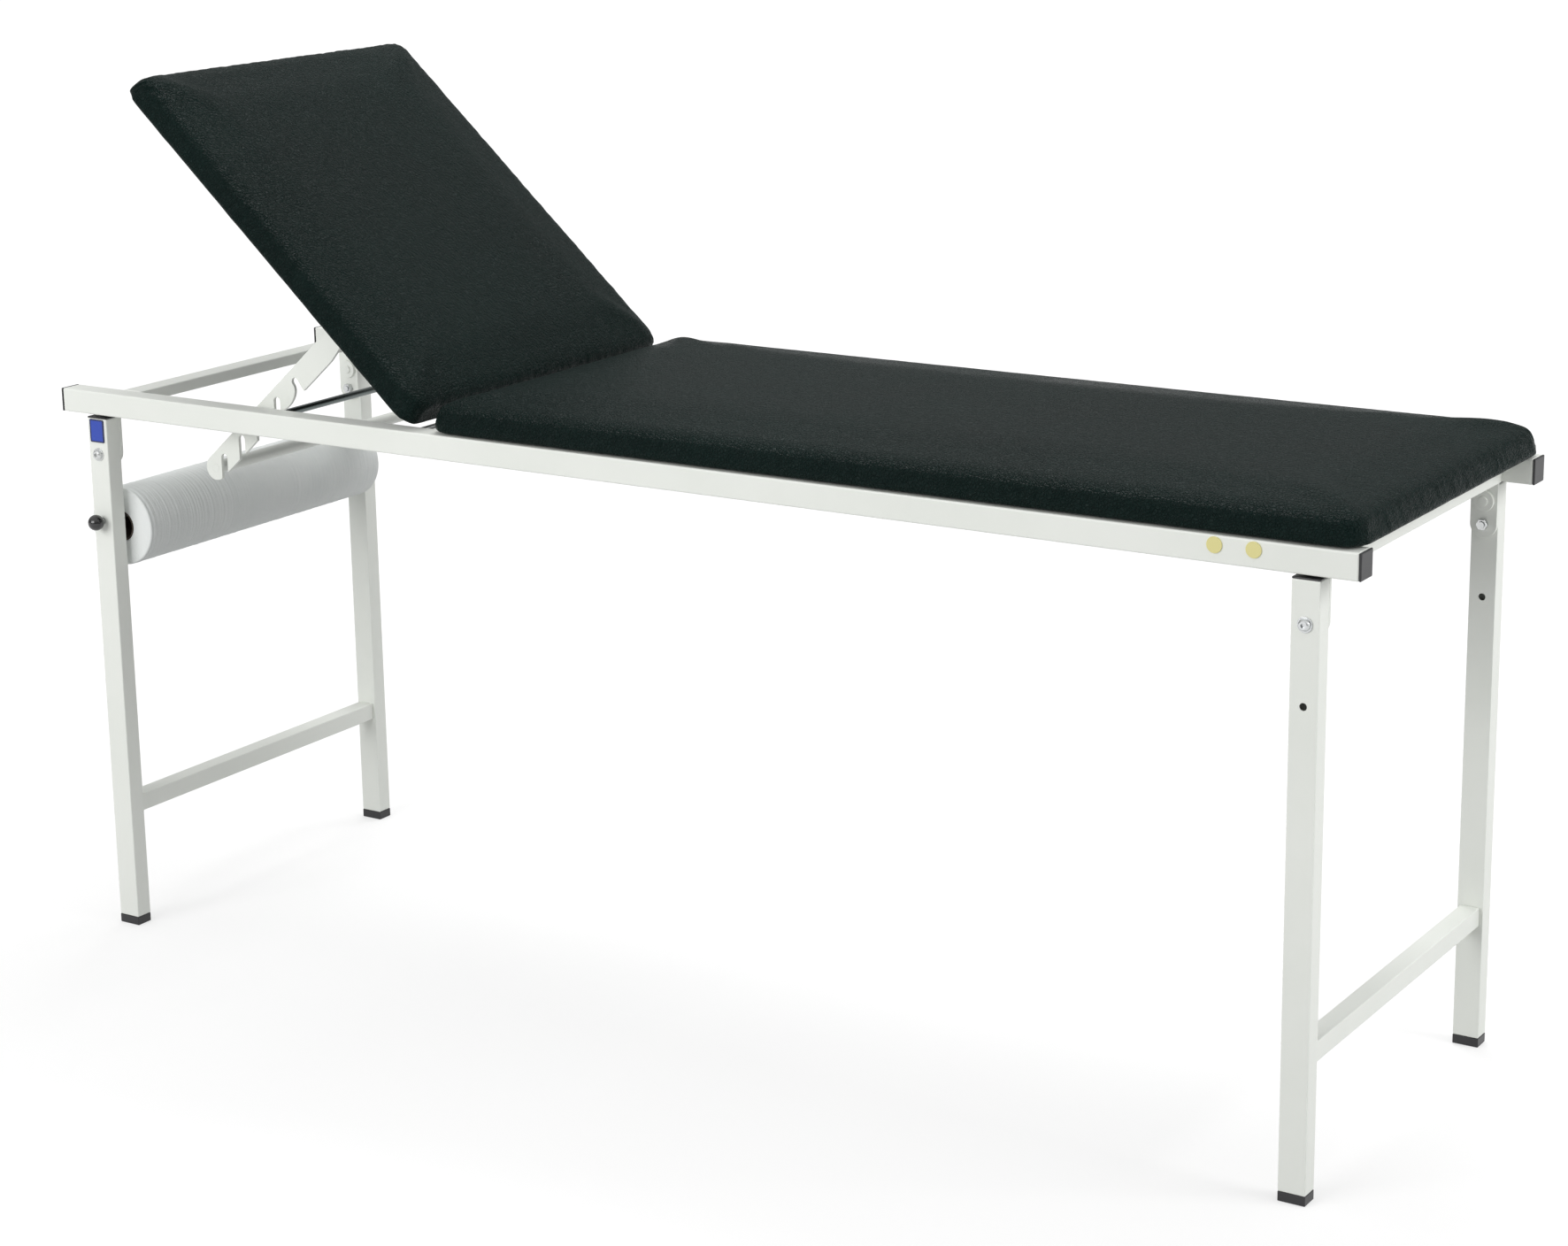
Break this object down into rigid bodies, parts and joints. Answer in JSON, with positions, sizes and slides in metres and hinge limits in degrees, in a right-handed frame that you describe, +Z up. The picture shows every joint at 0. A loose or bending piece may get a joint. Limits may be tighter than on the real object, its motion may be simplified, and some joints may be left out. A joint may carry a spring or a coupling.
{
  "type": "medical exam table",
  "caption": "Padded couch on a square tube frame with bolted legs, a raising backrest held by a notched prop, and a paper roll on a spindle below the head end.",
  "frame": {"origin": "on the floor, under the middle of the frame", "axes": "+X to the foot end, +Y to the far side (the roll's knob is on the -Y side), +Z up"},
  "size_m": [1.906, 0.61, 1.2034],
  "materials": {
    "white_powder_coat": "satin powder coat",
    "black_plastic": "moulded, matte",
    "black_vinyl": "grained vinyl, satin",
    "zinc": "zinc plated",
    "plywood": "raw plywood",
    "paper": "crepe paper",
    "cardboard": "plain",
    "yellow_plug": "moulded, satin",
    "blue_label": "blank plate, gloss"
  },
  "bodies": {
    "frame": {"rail_near": "white_powder_coat", "rail_far": "white_powder_coat", "head_crossbar": "white_powder_coat", "middle_crossbar": "white_powder_coat", "foot_crossbar": "white_powder_coat", "rail_cap_head_near": "black_plastic", "rail_cap_head_far": "black_plastic", "rail_cap_foot_near": "black_plastic", "rail_cap_foot_far": "black_plastic", "leg_head_near": "white_powder_coat", "leg_head_far": "white_powder_coat", "leg_foot_near": "white_powder_coat", "leg_foot_far": "white_powder_coat", "leg_lug_head_near": "white_powder_coat", "leg_lug_head_far": "white_powder_coat", "leg_lug_foot_near": "white_powder_coat", "leg_lug_foot_far": "white_powder_coat", "leg_crossbar_head": "white_powder_coat", "leg_crossbar_foot": "white_powder_coat", "leg_bolts": "zinc", "leg_washers": "zinc", "leg_nuts": "zinc", "foot_plugs": "black_plastic", "leg_top_plugs": "black_plastic", "label_plate": "blue_label", "rail_plugs": "yellow_plug", "hinge_rod": "zinc", "ratchet_rod": "zinc", "seat_board": "plywood", "seat_pad": "black_vinyl", "seat_screws": "zinc"},
    "spindle": {"roll_spindle": "zinc", "spindle_knob": "black_plastic"},
    "roll": {"paper_roll": "paper", "roll_core": "cardboard"},
    "backrest": {"backrest_board": "plywood", "backrest_pad": "black_vinyl", "hinge_brackets": "white_powder_coat", "backrest_screws": "zinc", "prop_lugs": "white_powder_coat", "prop_pins": "zinc"},
    "prop": {"prop_near": "white_powder_coat", "prop_far": "white_powder_coat", "prop_tie_bar": "white_powder_coat"}
  },
  "joints": [
    {"name": "backrest_tilt", "type": "hinge", "parent": "frame", "child": "backrest", "pos_m": [-0.355, 0, 0.76], "axis": [0, 1, 0], "range_deg": [-42, 0]},
    {"name": "prop_swing", "type": "hinge", "parent": "backrest", "child": "prop", "pos_m": [-0.49801, 0, 0.87302], "axis": [0, 1, 0], "range_deg": [0, 80.26]},
    {"name": "roll_spin", "type": "hinge", "parent": "frame", "child": "roll", "pos_m": [-0.89, 0, 0.5723], "axis": [0, 1, 0], "continuous": true},
    {"name": "spindle_pull", "type": "slide", "parent": "frame", "child": "spindle", "axis": [0, -1, 0], "range_m": [0, 0.57]}
  ],
  "couplings": [
    {"joint": "prop_swing", "follows": "backrest_tilt", "ratio": -1.9099}
  ]
}
